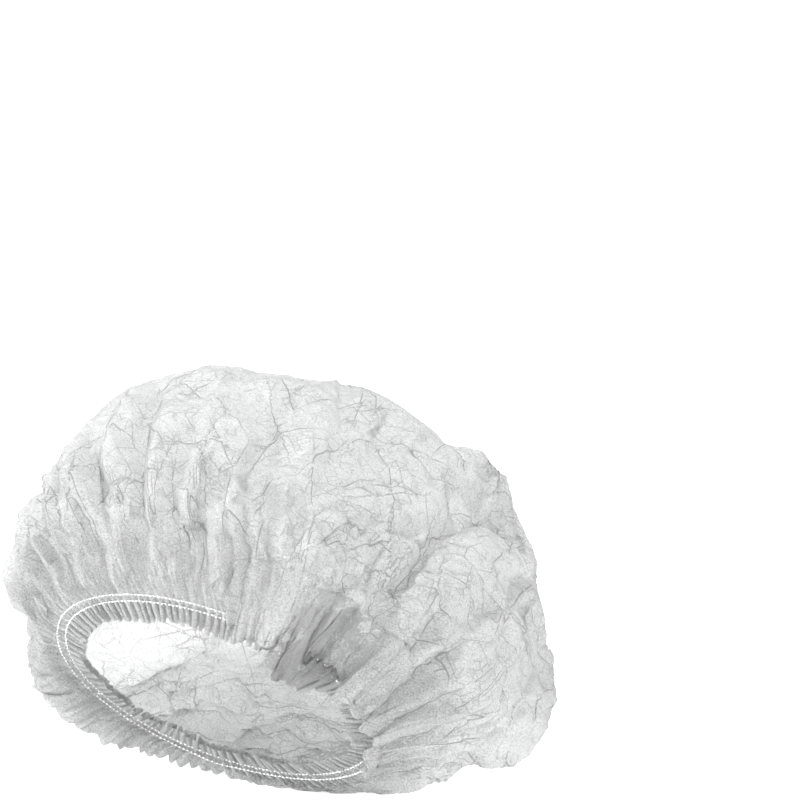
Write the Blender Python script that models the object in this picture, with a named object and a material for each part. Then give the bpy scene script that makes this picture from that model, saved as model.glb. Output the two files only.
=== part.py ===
"""A disposable hair cover cap of pleated non-woven cloth, opened out and lying on its side.

The floor is z = 0. The mouth faces -Y and leans over the floor, and the crown swells behind it.
Cloth is worked out from two shares: along, from the stitch line (0) to the far end of the crown (1),
and around, once round the mouth from its right end (+X), by way of its top.
"""

from collections import namedtuple
import math

import bmesh
import bpy
import numpy as np

# Sizes of the crown, in metres.
CROWN_WIDTH = 0.234
CROWN_DEPTH = 0.178
CROWN_HEIGHT = 0.172
CROWN_CENTRE_HEIGHT = 0.076
FLOOR_PRESS = 0.006
CLOTH_WALL = 0.0015

# Sizes of the mouth, measured on the stitch line between the two elastic cords.
MOUTH_WIDTH = 0.155
MOUTH_HEIGHT = 0.102
MOUTH_CENTRE_HEIGHT = 0.0555
MOUTH_SIDE_SHIFT = -0.003
MOUTH_LEAN_DEG = 21.0
MOUTH_ROLL_DEG = 9.0

# The gathered edge and its two elastic cords.
FRILL_REACH = 0.012
FRILL_WAVE = 0.0021
ELASTIC_DIAMETER = 0.0014
ELASTIC_SPACING = 0.0046
GATHER_PITCH = 0.0066
GATHER_DEPTH = 0.0017
BROAD_FOLD_DEPTH = 0.0032

# The fused ends of the pleated strip that the cap opens out from.
SEAL_LENGTH = 0.004
SEAL_THICKNESS = 0.0018
SEAL_RIB_PITCH = 0.0016
SEAL_RIB_HEIGHT = 0.0003

# Gaps between pieces that touch.
SEAM_GAP = 0.0004
PIECE_GAP = 0.0003

# How finely the faceted cloth is cut, and how far along it stays plain, under the cord.
BROAD_FOLDS_PER_GATHER = 0.25
PLAIN_STRIP = 0.026
FRILL_ROWS = 3
ELASTIC_SIDES = 6
LOWER_ROUNDNESS = 2.7

# Each row is one section across the crown. back is a share of CROWN_DEPTH, swell goes from the mouth's
# size (0) to the crown's (1), close shrinks the section towards the far end, lean is a share of the
# mouth's lean, and skew slides the section's top sideways, as a share of its height.
Section = namedtuple("Section", "along back swell close lean skew")
SECTIONS = (
    Section(0.00, 0.000, 0.00, 1.00, 1.00, 0.00),
    Section(0.06, -0.028, 0.25, 1.00, 1.00, -0.02),
    Section(0.14, -0.010, 0.57, 1.00, 0.95, -0.06),
    Section(0.28, 0.110, 0.89, 1.00, 0.80, -0.14),
    Section(0.45, 0.330, 1.00, 1.00, 0.50, -0.20),
    Section(0.62, 0.570, 1.00, 0.95, 0.20, -0.20),
    Section(0.78, 0.790, 1.00, 0.79, 0.10, -0.18),
    Section(0.88, 0.915, 1.00, 0.58, 0.00, -0.15),
    Section(0.95, 0.980, 1.00, 0.33, 0.00, -0.10),
    Section(1.00, 1.000, 1.00, 0.00, 0.00, 0.00),
)

# Each band is a stretch of the crown with its own fineness: it ends at the share until, has that many
# rows, and every merge columns of the mouth become one.
Band = namedtuple("Band", "until rows merge")
BANDS = (
    Band(0.17, 6, 1),
    Band(0.66, 9, 2),
    Band(0.97, 5, 4),
)

# The main dents and ridges. Each is centred at the shares along and around, runs for length each way
# and fades over width each way (both shares of CROWN_WIDTH), turned by turn_deg from the way along the
# crown, and is raised by depth, a share of CROWN_HEIGHT (negative for a dent).
Fold = namedtuple("Fold", "name along around length width turn_deg depth")
FOLDS = (
    Fold("lip_low_left", 0.085, 0.600, 0.055, 0.150, 0.0, 0.048),
    Fold("lip_low_front", 0.085, 0.705, 0.045, 0.200, 0.0, 0.040),
    Fold("bulge_low_right", 0.46, 0.930, 0.200, 0.150, 0.0, 0.034),
    Fold("shoulder_right", 0.72, 0.020, 0.180, 0.120, 0.0, 0.022),
    Fold("valley_to_seal", 0.34, 0.088, 0.260, 0.045, -8.0, -0.060),
    Fold("tuck_over_mouth", 0.10, 0.122, 0.070, 0.050, 20.0, -0.060),
    Fold("notch_beside_seal", 0.70, 0.128, 0.100, 0.035, 20.0, -0.036),
    Fold("brow_left", 0.24, 0.345, 0.200, 0.045, 0.0, 0.028),
    Fold("brow_valley_left", 0.26, 0.310, 0.180, 0.040, 5.0, -0.030),
    Fold("crest_middle", 0.42, 0.235, 0.200, 0.060, -20.0, 0.026),
    Fold("dent_top", 0.58, 0.270, 0.140, 0.060, 60.0, -0.026),
    Fold("notch_low_left", 0.17, 0.535, 0.050, 0.030, 0.0, -0.045),
    Fold("ridge_right_low", 0.30, 0.005, 0.160, 0.045, 10.0, 0.026),
    Fold("valley_right_low", 0.26, 0.970, 0.150, 0.040, 10.0, -0.032),
    Fold("dent_back_right", 0.80, 0.920, 0.120, 0.070, 30.0, -0.026),
    Fold("dent_back_left", 0.76, 0.420, 0.150, 0.055, -30.0, -0.030),
)

# Where the two fused ends stand out of the crown, how far the cloth is drawn out to them (a share of
# CROWN_HEIGHT), and how wide the drawn-out cloth is at its foot (a share of CROWN_WIDTH).
Seal = namedtuple("Seal", "name along around draw foot")
SEALS = (
    Seal("end_seal_right", 0.76, 0.052, 0.030, 0.110),
    Seal("end_seal_left", 0.11, 0.562, 0.024, 0.070),
)

CLOTH = ("non_woven_cloth", (0.84, 0.85, 0.86), 0.75)
CORD = ("white_elastic", (0.92, 0.92, 0.92), 0.55)
FUSED = ("fused_cloth", (0.78, 0.79, 0.80), 0.45)


def column_of_sections(name, along):
    """One column of SECTIONS at these shares along, on a smooth curve through its rows."""
    stations = np.array([row.along for row in SECTIONS])
    values = np.array([getattr(row, name) for row in SECTIONS])
    slopes = np.gradient(values, stations)
    left = np.clip(np.searchsorted(stations, along, side="right") - 1, 0, len(SECTIONS) - 2)
    span = stations[left + 1] - stations[left]
    t = (along - stations[left]) / span
    start = (2 * t**3 - 3 * t**2 + 1) * values[left]
    leave = (t**3 - 2 * t**2 + t) * span * slopes[left]
    end = (3 * t**2 - 2 * t**3) * values[left + 1]
    arrive = (t**3 - t**2) * span * slopes[left + 1]
    return start + leave + end + arrive


def between(low, high, share):
    return low + (high - low) * share


def step_up(value, start, end):
    """A smooth step from 0 at start to 1 at end."""
    t = np.clip((value - start) / (end - start), 0.0, 1.0)
    return t * t * (3 - 2 * t)


def mouth_table(samples=1440):
    """The mouth ellipse's angle against the share of its length, so that gathers are evenly spaced."""
    angle = np.linspace(0.0, 2 * math.pi, samples + 1)
    x = MOUTH_WIDTH / 2 * np.cos(angle)
    z = MOUTH_HEIGHT / 2 * np.sin(angle)
    length = np.concatenate([[0.0], np.cumsum(np.hypot(np.diff(x), np.diff(z)))])
    return angle, length


MOUTH_ANGLES, MOUTH_LENGTHS = mouth_table()
MOUTH_PERIMETER = MOUTH_LENGTHS[-1]
COLUMN_STEP = 2 * max(band.merge for band in BANDS)
GATHERS = COLUMN_STEP // 2 * max(3, round(MOUTH_PERIMETER / GATHER_PITCH / (COLUMN_STEP // 2)))
COLUMNS = 2 * GATHERS
BROAD_FOLDS = round(GATHERS * BROAD_FOLDS_PER_GATHER)


def angle_at(around):
    return np.interp(np.mod(around, 1.0) * MOUTH_PERIMETER, MOUTH_LENGTHS, MOUTH_ANGLES)


def rolled(across, upward, roll):
    """A point of a section, turned in the section's own plane."""
    return (
        across * np.cos(roll) + upward * np.sin(roll),
        upward * np.cos(roll) - across * np.sin(roll),
    )


def squared(value, roundness):
    return np.sign(value) * np.abs(value) ** (2.0 / roundness)


def plain_end(around, probe=0.05):
    """The share along, at each place round the mouth, where the strip under the two cords ends."""
    start = np.zeros_like(around)
    length = np.linalg.norm(bare_crown(start + probe, around) - bare_crown(start, around), axis=-1)
    return probe * ELASTIC_SPACING / length


def smooth_crown(along, around):
    """The bare crown, with shares spread so that PLAIN_STRIP is the same strip all round the mouth."""
    end = BANDS[0].until
    plain = plain_end(around)
    inside = along / PLAIN_STRIP * plain
    beyond = between(plain, end, (along - PLAIN_STRIP) / (end - PLAIN_STRIP))
    spread = np.where(along <= PLAIN_STRIP, inside, np.where(along < end, beyond, along))
    return bare_crown(spread, around)


def bare_crown(along, around):
    """Points of the crown's outer face without gathers, folds or floor."""
    back, swell, close, lean, skew = (
        column_of_sections(name, along) for name in ("back", "swell", "close", "lean", "skew")
    )
    angle = angle_at(around)
    rise = between(MOUTH_HEIGHT / 2, CROWN_HEIGHT - CROWN_CENTRE_HEIGHT, swell)
    drop = between(MOUTH_HEIGHT / 2, CROWN_CENTRE_HEIGHT + FLOOR_PRESS, swell)
    above = np.sin(angle) >= 0
    roundness = np.where(above, 2.0, between(2.0, LOWER_ROUNDNESS, np.clip(swell, 0.0, 1.0)))
    across = close * between(MOUTH_WIDTH / 2, CROWN_WIDTH / 2, swell) * squared(np.cos(angle), roundness)
    upward = close * np.where(above, rise, drop) * squared(np.sin(angle), roundness)
    across, upward = rolled(across, upward, math.radians(MOUTH_ROLL_DEG) * lean**2)
    tilt = math.radians(MOUTH_LEAN_DEG) * lean
    x = between(MOUTH_SIDE_SHIFT, 0.0, swell) + across + skew * upward
    y = back * CROWN_DEPTH - upward * np.sin(tilt)
    z = between(MOUTH_CENTRE_HEIGHT, CROWN_CENTRE_HEIGHT, swell) + upward * np.cos(tilt)
    return np.stack([x, y, z], axis=-1)


def unit(vectors):
    return vectors / np.maximum(np.linalg.norm(vectors, axis=-1, keepdims=True), 1e-12)


def crown_normals(along, around, step=1e-4):
    """Outward directions of the smooth crown."""
    along = np.clip(along, 0.0, 1.0 - 20 * step)
    low = np.maximum(along - step, 0.0)
    onward = smooth_crown(along + step, around) - smooth_crown(low, around)
    sideways = smooth_crown(along, around + step) - smooth_crown(along, around - step)
    return unit(np.cross(onward, sideways))


def around_gap(around, centre):
    """The signed shortest way from centre, as a share of the mouth's length."""
    return np.mod(around - centre + 0.5, 1.0) - 0.5


def offsets_from(along, around, centre_along, centre_around):
    """How far each point lies from a centre on the crown: along it and round it, in metres."""
    step = 1e-3
    here = smooth_crown(np.array(centre_along), np.array(centre_around))
    onward = smooth_crown(np.array(centre_along + step), np.array(centre_around)) - here
    sideways = smooth_crown(np.array(centre_along), np.array(centre_around + step)) - here
    return (
        (along - centre_along) * np.linalg.norm(onward) / step,
        around_gap(around, centre_around) * np.linalg.norm(sideways) / step,
    )


def fold_height(along, around, fold):
    onward, sideways = offsets_from(along, around, fold.along, fold.around)
    turn = math.radians(fold.turn_deg)
    length = (onward * math.cos(turn) + sideways * math.sin(turn)) / (fold.length * CROWN_WIDTH)
    width = (sideways * math.cos(turn) - onward * math.sin(turn)) / (fold.width * CROWN_WIDTH)
    return fold.depth * CROWN_HEIGHT * np.exp(-(length**2) - width**2)


def seal_height(along, around, ridge, seal):
    """Cloth drawn out to a ridge that runs along the crown between two shares."""
    nearest = np.clip(along, ridge[0], ridge[1])
    middle = (ridge[0] + ridge[1]) / 2
    onward, _ = offsets_from(along, around, middle, ridge[2])
    at_ridge, sideways = offsets_from(nearest, around, middle, ridge[2])
    away = np.hypot(onward - at_ridge, sideways) / (seal.foot * CROWN_WIDTH)
    return seal.draw * CROWN_HEIGHT * np.clip(1.0 - away, 0.0, 1.0) ** 2


def crown_height(along, around, ridges):
    """How far the cloth stands off the smooth crown."""
    turn = 2 * math.pi * around
    stitched = step_up(along, PLAIN_STRIP, PLAIN_STRIP + 0.035)
    fine = GATHER_DEPTH * stitched * (1 - step_up(along, 0.08, BANDS[0].until))
    height = fine * np.cos(GATHERS * turn)
    uneven = 0.75 + 0.25 * np.sin(3 * turn + 0.8) * np.cos(5 * turn)
    broad = BROAD_FOLD_DEPTH * step_up(along, 0.02, 0.16) * (1 - step_up(along, 0.24, 0.62))
    height = height + broad * uneven * np.cos(BROAD_FOLDS * turn + 0.9 * np.sin(2 * turn))
    dents = sum(fold_height(along, around, fold) for fold in FOLDS)
    height = height + dents * step_up(along, PLAIN_STRIP, 0.09)
    for seal, ridge in zip(SEALS, ridges):
        height = height + seal_height(along, around, ridge, seal)
    return height


def on_floor(points, level):
    """The same points, with what would hang below this level flattened onto it."""
    laid = np.array(points)
    laid[..., 2] = np.maximum(laid[..., 2], level)
    return laid


def crown_rings():
    """The crown's rows: for each, the share along and how many mouth columns one column stands for."""
    rings = [(0.0, BANDS[0].merge), (PLAIN_STRIP / 2, BANDS[0].merge)]
    start = PLAIN_STRIP
    for band in BANDS:
        for row in range(band.rows):
            rings.append((between(start, band.until, row / band.rows), band.merge))
        start = band.until
    rings.append((start, BANDS[-1].merge))
    return rings


def column_shares(merge):
    return np.arange(0, COLUMNS, merge) / COLUMNS


def seal_ridges():
    """For each seal, the two rows and the column of the cloth that it stands on, as shares."""
    rings = crown_rings()
    ridges = []
    for seal in SEALS:
        row = min(range(len(rings) - 1), key=lambda i: abs(rings[i][0] + rings[i + 1][0] - 2 * seal.along))
        shares = column_shares(max(2, rings[row][1], rings[row + 1][1]))
        column = shares[np.argmin(np.abs(around_gap(shares, seal.around)))]
        ridges.append((rings[row][0], rings[row + 1][0], float(column)))
    return ridges


def crown_faces():
    """The outer and the inner rings of the crown, and the two points that close its far end."""
    ridges = seal_ridges()
    outer, inner = [], []
    for along, merge in crown_rings():
        around = column_shares(merge)
        along = np.full_like(around, along)
        normal = crown_normals(along, around)
        face = smooth_crown(along, around) + normal * crown_height(along, around, ridges)[:, None]
        outer.append(on_floor(face, 0.0))
        inner.append(on_floor(face - normal * CLOTH_WALL, CLOTH_WALL))
    far_end = smooth_crown(np.array(1.0), np.array(0.0))
    return outer, inner, far_end, far_end - np.array([0.0, CLOTH_WALL, 0.0])


def ring_pairs(first, second):
    """Faces that join two closed rings of vertices, the second as fine as the first or half as fine."""
    count = len(second)
    if len(first) == count:
        return [
            (first[i], first[(i + 1) % count], second[(i + 1) % count], second[i]) for i in range(count)
        ]
    faces = []
    for i in range(count):
        start, middle, end = (first[(2 * i + k) % len(first)] for k in range(3))
        faces.append((start, middle, second[i]))
        faces.append((middle, second[(i + 1) % count], second[i]))
        faces.append((middle, end, second[(i + 1) % count]))
    return faces


def add_rings(mesh, rings):
    return [[mesh.verts.new(point) for point in ring] for ring in rings]


def joined(mesh, rings, flip=False):
    for first, second in zip(rings, rings[1:]):
        for corners in ring_pairs(first, second):
            mesh.faces.new(corners[::-1] if flip else corners)


def fan(mesh, ring, tip, flip=False):
    for i in range(len(ring)):
        corners = (ring[i], ring[(i + 1) % len(ring)], tip)
        mesh.faces.new(corners[::-1] if flip else corners)


def make_crown(mesh):
    outer, inner, outer_tip, inner_tip = crown_faces()
    outer_rings = add_rings(mesh, outer)
    inner_rings = add_rings(mesh, inner)
    joined(mesh, outer_rings, flip=True)
    joined(mesh, inner_rings)
    fan(mesh, outer_rings[-1], mesh.verts.new(outer_tip), flip=True)
    fan(mesh, inner_rings[-1], mesh.verts.new(inner_tip))
    joined(mesh, [inner_rings[0], outer_rings[0]], flip=True)


def mouth_axes():
    """The mouth's centre, the ways along its width and height, and the way out of it."""
    roll = math.radians(MOUTH_ROLL_DEG)
    tilt = math.radians(MOUTH_LEAN_DEG)
    widthways = np.array([math.cos(roll), math.sin(roll) * math.sin(tilt), -math.sin(roll) * math.cos(tilt)])
    upward = np.array([math.sin(roll), -math.cos(roll) * math.sin(tilt), math.cos(roll) * math.cos(tilt)])
    centre = np.array([MOUTH_SIDE_SHIFT, 0.0, MOUTH_CENTRE_HEIGHT])
    return centre, widthways, upward, np.cross(widthways, upward)


def mouth_points(around, inset):
    """Points of the mouth's plane, this far inside the stitch line."""
    centre, widthways, upward, _ = mouth_axes()
    angle = angle_at(around)
    across = (MOUTH_WIDTH / 2 - inset) * np.cos(angle)
    height = (MOUTH_HEIGHT / 2 - inset) * np.sin(angle)
    return centre + across[:, None] * widthways + height[:, None] * upward


def make_frill(mesh):
    """The free edge of the cloth, inside the stitch line, waved more and more towards its hem."""
    around = column_shares(1)
    outward = mouth_axes()[3]
    front, rear = [], []
    for row in range(FRILL_ROWS + 1):
        inset = between(SEAM_GAP, FRILL_REACH, (row / FRILL_ROWS) ** 0.8)
        wave = FRILL_WAVE * step_up(inset, ELASTIC_SPACING / 2 + ELASTIC_DIAMETER, FRILL_REACH)
        ripple = wave * np.cos(GATHERS * 2 * math.pi * around)
        face = mouth_points(around, inset) + ripple[:, None] * outward
        front.append(face)
        rear.append(face - CLOTH_WALL * outward)
    front_rings = add_rings(mesh, front)
    rear_rings = add_rings(mesh, rear)
    joined(mesh, front_rings)
    joined(mesh, rear_rings, flip=True)
    joined(mesh, [front_rings[0], rear_rings[0]], flip=True)
    joined(mesh, [front_rings[-1], rear_rings[-1]])


def make_cord_ring(mesh, centres, normals):
    """A round cord that follows a closed line of centres and bears on the cloth below them."""
    tangents = unit(np.roll(centres, -1, axis=0) - np.roll(centres, 1, axis=0))
    sides = unit(np.cross(tangents, normals))
    lifts = np.cross(sides, tangents)
    rings = []
    for k in range(ELASTIC_SIDES):
        turn = 2 * math.pi * k / ELASTIC_SIDES
        rings.append(centres + ELASTIC_DIAMETER / 2 * (math.cos(turn) * lifts + math.sin(turn) * sides))
    strands = add_rings(mesh, rings)
    joined(mesh, strands + strands[:1])
    bmesh.ops.recalc_face_normals(mesh, faces=mesh.faces)


def elastic_lift():
    return PIECE_GAP + ELASTIC_DIAMETER / 2


def make_elastic_outer(mesh):
    """The elastic cord on the crown's side of the stitch line."""
    around = column_shares(2)
    along = np.full_like(around, PLAIN_STRIP / 2)
    normals = crown_normals(along, around)
    make_cord_ring(mesh, smooth_crown(along, around) + elastic_lift() * normals, normals)


def make_elastic_inner(mesh):
    """The elastic cord on the frill's side of the stitch line."""
    around = column_shares(2)
    normals = np.broadcast_to(mouth_axes()[3], (len(around), 3))
    centres = mouth_points(around, ELASTIC_SPACING / 2) + elastic_lift() * normals
    make_cord_ring(mesh, centres, normals)


def make_seal(mesh, index):
    """A fused, ribbed tab that stands on a drawn-out ridge of the crown."""
    ridges = seal_ridges()
    low, high, column = ridges[index]
    along = np.array([low, high])
    around = np.array([column, column])
    normal = crown_normals(along, around)
    ends = smooth_crown(along, around) + normal * crown_height(along, around, ridges)[:, None]
    run = unit(ends[1] - ends[0])
    outward = unit(normal.mean(axis=0) - run * np.dot(normal.mean(axis=0), run))
    thick = np.cross(run, outward)
    width = np.linalg.norm(ends[1] - ends[0])
    ribs = max(2, round(width / SEAL_RIB_PITCH))
    foot = ends[0] + outward * PIECE_GAP
    profile = []
    for side in (1, -1):
        stations = range(ribs + 1) if side == 1 else range(ribs, -1, -1)
        for i in stations:
            proud = SEAL_RIB_HEIGHT if i % 2 else 0.0
            profile.append(foot + run * width * i / ribs + thick * side * (SEAL_THICKNESS / 2 + proud))
    lower = [mesh.verts.new(point) for point in profile]
    upper = [mesh.verts.new(point + outward * SEAL_LENGTH) for point in profile]
    joined(mesh, [lower, upper])
    mesh.faces.new(lower[::-1])
    mesh.faces.new(upper)
    bmesh.ops.recalc_face_normals(mesh, faces=mesh.faces)


def material(name, colour, roughness):
    found = bpy.data.materials.get(name)
    if found:
        return found
    made = bpy.data.materials.new(name)
    made.use_nodes = True
    shader = made.node_tree.nodes["Principled BSDF"]
    shader.inputs["Base Color"].default_value = (*colour, 1.0)
    shader.inputs["Roughness"].default_value = roughness
    shader.inputs["Metallic"].default_value = 0.0
    return made


def add_piece(name, make, finish, holder, *arguments):
    mesh = bmesh.new()
    make(mesh, *arguments)
    data = bpy.data.meshes.new(name)
    mesh.to_mesh(data)
    mesh.free()
    data.shade_smooth()
    data.set_sharp_from_angle(angle=math.radians(50.0))
    data.materials.append(material(*finish))
    piece = bpy.data.objects.new(name, data)
    bpy.context.scene.collection.objects.link(piece)
    piece.parent = holder
    return piece


def clear_scene():
    for thing in list(bpy.data.objects):
        bpy.data.objects.remove(thing)


def centre_on_floor(holder, pieces):
    """Moves the holder so that the origin is under the middle of the whole cap."""
    corners = np.array([vertex.co for piece in pieces for vertex in piece.data.vertices])
    middle = (corners.min(axis=0) + corners.max(axis=0)) / 2
    holder.location = (-middle[0], -middle[1], 0.0)


def build():
    clear_scene()
    holder = bpy.data.objects.new("cap_frame", None)
    bpy.context.scene.collection.objects.link(holder)
    pieces = [
        add_piece("crown", make_crown, CLOTH, holder),
        add_piece("frill", make_frill, CLOTH, holder),
        add_piece("elastic_outer", make_elastic_outer, CORD, holder),
        add_piece("elastic_inner", make_elastic_inner, CORD, holder),
    ]
    for index, seal in enumerate(SEALS):
        pieces.append(add_piece(seal.name, make_seal, FUSED, holder, index))
    centre_on_floor(holder, pieces)


build()
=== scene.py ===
"""The looks of the hair cover cap: crumpled non-woven cloth, pleated frill and stitched elastic.

Places on the cloth are two shares: along, from the stitch line (0) to the far end of the crown (1),
and around, once round the mouth from its right end (+X), by way of its top. Lengths are in metres.
"""

from collections import namedtuple
import math

import bpy
import numpy as np
from mathutils import Matrix, Vector
from mathutils.geometry import delaunay_2d_cdt


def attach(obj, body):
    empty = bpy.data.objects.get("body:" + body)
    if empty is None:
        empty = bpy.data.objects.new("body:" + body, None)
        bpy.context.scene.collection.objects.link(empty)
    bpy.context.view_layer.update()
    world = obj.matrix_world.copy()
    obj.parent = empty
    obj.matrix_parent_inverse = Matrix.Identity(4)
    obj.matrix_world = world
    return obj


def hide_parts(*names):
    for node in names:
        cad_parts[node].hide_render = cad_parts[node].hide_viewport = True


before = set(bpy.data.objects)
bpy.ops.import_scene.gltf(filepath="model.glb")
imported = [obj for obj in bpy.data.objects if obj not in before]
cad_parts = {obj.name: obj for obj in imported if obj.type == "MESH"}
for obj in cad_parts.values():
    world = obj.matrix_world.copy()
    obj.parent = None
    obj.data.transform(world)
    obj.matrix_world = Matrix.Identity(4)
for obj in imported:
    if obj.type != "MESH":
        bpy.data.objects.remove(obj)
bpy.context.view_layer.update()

# The CAD's own sizes and tables.
CROWN_WIDTH = 0.234
CROWN_DEPTH = 0.178
CROWN_HEIGHT = 0.172
CROWN_CENTRE_HEIGHT = 0.076
FLOOR_PRESS = 0.006
MOUTH_WIDTH = 0.155
MOUTH_HEIGHT = 0.102
MOUTH_CENTRE_HEIGHT = 0.0555
MOUTH_SIDE_SHIFT = -0.003
MOUTH_LEAN_DEG = 21.0
MOUTH_ROLL_DEG = 9.0
FRILL_REACH = 0.012
ELASTIC_SPACING = 0.0046
PLAIN_STRIP = 0.026
PLAIN_STRIP_BLEND = 0.17
LOWER_ROUNDNESS = 2.7
CAP_SHIFT = np.array([-0.00234, -0.07252, 0.0])

Section = namedtuple("Section", "along back swell close lean skew")
SECTIONS = (
    Section(0.00, 0.000, 0.00, 1.00, 1.00, 0.00),
    Section(0.06, -0.028, 0.25, 1.00, 1.00, -0.02),
    Section(0.14, -0.010, 0.57, 1.00, 0.95, -0.06),
    Section(0.28, 0.110, 0.89, 1.00, 0.80, -0.14),
    Section(0.45, 0.330, 1.00, 1.00, 0.50, -0.20),
    Section(0.62, 0.570, 1.00, 0.95, 0.20, -0.20),
    Section(0.78, 0.790, 1.00, 0.79, 0.10, -0.18),
    Section(0.88, 0.915, 1.00, 0.58, 0.00, -0.15),
    Section(0.95, 0.980, 1.00, 0.33, 0.00, -0.10),
    Section(1.00, 1.000, 1.00, 0.00, 0.00, 0.00),
)

Fold = namedtuple("Fold", "name along around length width turn_deg depth")
FOLDS = (
    Fold("lip_low_left", 0.085, 0.600, 0.055, 0.150, 0.0, 0.048),
    Fold("lip_low_front", 0.085, 0.705, 0.045, 0.200, 0.0, 0.040),
    Fold("bulge_low_right", 0.46, 0.930, 0.200, 0.150, 0.0, 0.034),
    Fold("shoulder_right", 0.72, 0.020, 0.180, 0.120, 0.0, 0.022),
    Fold("valley_to_seal", 0.34, 0.088, 0.260, 0.045, -8.0, -0.060),
    Fold("tuck_over_mouth", 0.10, 0.122, 0.070, 0.050, 20.0, -0.060),
    Fold("notch_beside_seal", 0.70, 0.128, 0.100, 0.035, 20.0, -0.036),
    Fold("brow_left", 0.24, 0.345, 0.200, 0.045, 0.0, 0.028),
    Fold("brow_valley_left", 0.26, 0.310, 0.180, 0.040, 5.0, -0.030),
    Fold("crest_middle", 0.42, 0.235, 0.200, 0.060, -20.0, 0.026),
    Fold("dent_top", 0.58, 0.270, 0.140, 0.060, 60.0, -0.026),
    Fold("notch_low_left", 0.17, 0.535, 0.050, 0.030, 0.0, -0.045),
    Fold("ridge_right_low", 0.30, 0.005, 0.160, 0.045, 10.0, 0.026),
    Fold("valley_right_low", 0.26, 0.970, 0.150, 0.040, 10.0, -0.032),
    Fold("dent_back_right", 0.80, 0.920, 0.120, 0.070, 30.0, -0.026),
    Fold("dent_back_left", 0.76, 0.420, 0.150, 0.055, -30.0, -0.030),
)

# Finer shape of the soft web, on top of the CAD's.
SOFT_FOLDS = (
    Fold("puff_low_left", 0.110, 0.588, 0.060, 0.120, 0.0, 0.034),
    Fold("slack_left", 0.270, 0.450, 0.260, 0.260, 0.0, -0.022),
    Fold("slack_low_right", 0.380, 0.905, 0.260, 0.160, 0.0, -0.026),
    Fold("slack_low_front", 0.090, 0.700, 0.060, 0.180, 0.0, -0.016),
    Fold("flap_by_right_end", 0.735, 0.098, 0.085, 0.050, -30.0, 0.030),
)

Seal = namedtuple("Seal", "name along around draw foot")
SEALS = (
    Seal("end_seal_right", 0.76, 0.052, 0.030, 0.110),
    Seal("end_seal_left", 0.11, 0.562, 0.024, 0.070),
)

# The gathered cloth: one pleat is one small ruffle of the elastic.
PLEATS = 115
POINTS_PER_PLEAT = 8
COLUMNS = PLEATS * POINTS_PER_PLEAT
PLEAT_UNEVENNESS = 0.28
STITCH_WAVE = 0.0007
FRILL_WAVE = 0.0017
FRILL_OVERLAP = 0.26
FLAT_RADIUS = 0.275
ROW_STEP = 0.00142

# The photograph's camera.
AZIMUTH_DEG = 25.0
ELEVATION_DEG = 25.0
CAMERA_DISTANCE = 1.3
PIXELS_PER_METRE = 2130.0
PICTURE = 800
SENSOR = 36.0
AIM = np.array([0.0, 0.080, 0.070]) + CAP_SHIFT
AIM_PIXEL = (300.0, 590.0)


# ---- smooth shape ----


def column_of_sections(name, along):
    stations = np.array([row.along for row in SECTIONS])
    values = np.array([getattr(row, name) for row in SECTIONS])
    slopes = np.gradient(values, stations)
    left = np.clip(np.searchsorted(stations, along, side="right") - 1, 0, len(SECTIONS) - 2)
    span = stations[left + 1] - stations[left]
    t = (along - stations[left]) / span
    start = (2 * t**3 - 3 * t**2 + 1) * values[left]
    leave = (t**3 - 2 * t**2 + t) * span * slopes[left]
    end = (3 * t**2 - 2 * t**3) * values[left + 1]
    arrive = (t**3 - t**2) * span * slopes[left + 1]
    return start + leave + end + arrive


def between(low, high, share):
    return low + (high - low) * share


def step_up(value, start, end):
    t = np.clip((value - start) / (end - start), 0.0, 1.0)
    return t * t * (3 - 2 * t)


def mouth_table(samples=1440):
    angle = np.linspace(0.0, 2 * math.pi, samples + 1)
    x = MOUTH_WIDTH / 2 * np.cos(angle)
    z = MOUTH_HEIGHT / 2 * np.sin(angle)
    return angle, np.concatenate([[0.0], np.cumsum(np.hypot(np.diff(x), np.diff(z)))])


MOUTH_ANGLES, MOUTH_LENGTHS = mouth_table()
MOUTH_PERIMETER = MOUTH_LENGTHS[-1]


def angle_at(around):
    return np.interp(np.mod(around, 1.0) * MOUTH_PERIMETER, MOUTH_LENGTHS, MOUTH_ANGLES)


def rolled(across, upward, roll):
    return (
        across * np.cos(roll) + upward * np.sin(roll),
        upward * np.cos(roll) - across * np.sin(roll),
    )


def squared(value, roundness):
    return np.sign(value) * np.abs(value) ** (2.0 / roundness)


def bare_crown(along, around):
    back, swell, close, lean, skew = (
        column_of_sections(name, along) for name in ("back", "swell", "close", "lean", "skew")
    )
    angle = angle_at(around)
    rise = between(MOUTH_HEIGHT / 2, CROWN_HEIGHT - CROWN_CENTRE_HEIGHT, swell)
    drop = between(MOUTH_HEIGHT / 2, CROWN_CENTRE_HEIGHT + FLOOR_PRESS, swell)
    above = np.sin(angle) >= 0
    roundness = np.where(above, 2.0, between(2.0, LOWER_ROUNDNESS, np.clip(swell, 0.0, 1.0)))
    across = close * between(MOUTH_WIDTH / 2, CROWN_WIDTH / 2, swell) * squared(np.cos(angle), roundness)
    upward = close * np.where(above, rise, drop) * squared(np.sin(angle), roundness)
    across, upward = rolled(across, upward, math.radians(MOUTH_ROLL_DEG) * lean**2)
    tilt = math.radians(MOUTH_LEAN_DEG) * lean
    x = between(MOUTH_SIDE_SHIFT, 0.0, swell) + across + skew * upward
    y = back * CROWN_DEPTH - upward * np.sin(tilt)
    z = between(MOUTH_CENTRE_HEIGHT, CROWN_CENTRE_HEIGHT, swell) + upward * np.cos(tilt)
    return np.stack([x, y, z], axis=-1)


def plain_end(around, probe=0.05):
    start = np.zeros_like(around)
    length = np.linalg.norm(bare_crown(start + probe, around) - bare_crown(start, around), axis=-1)
    return probe * ELASTIC_SPACING / length


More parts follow.
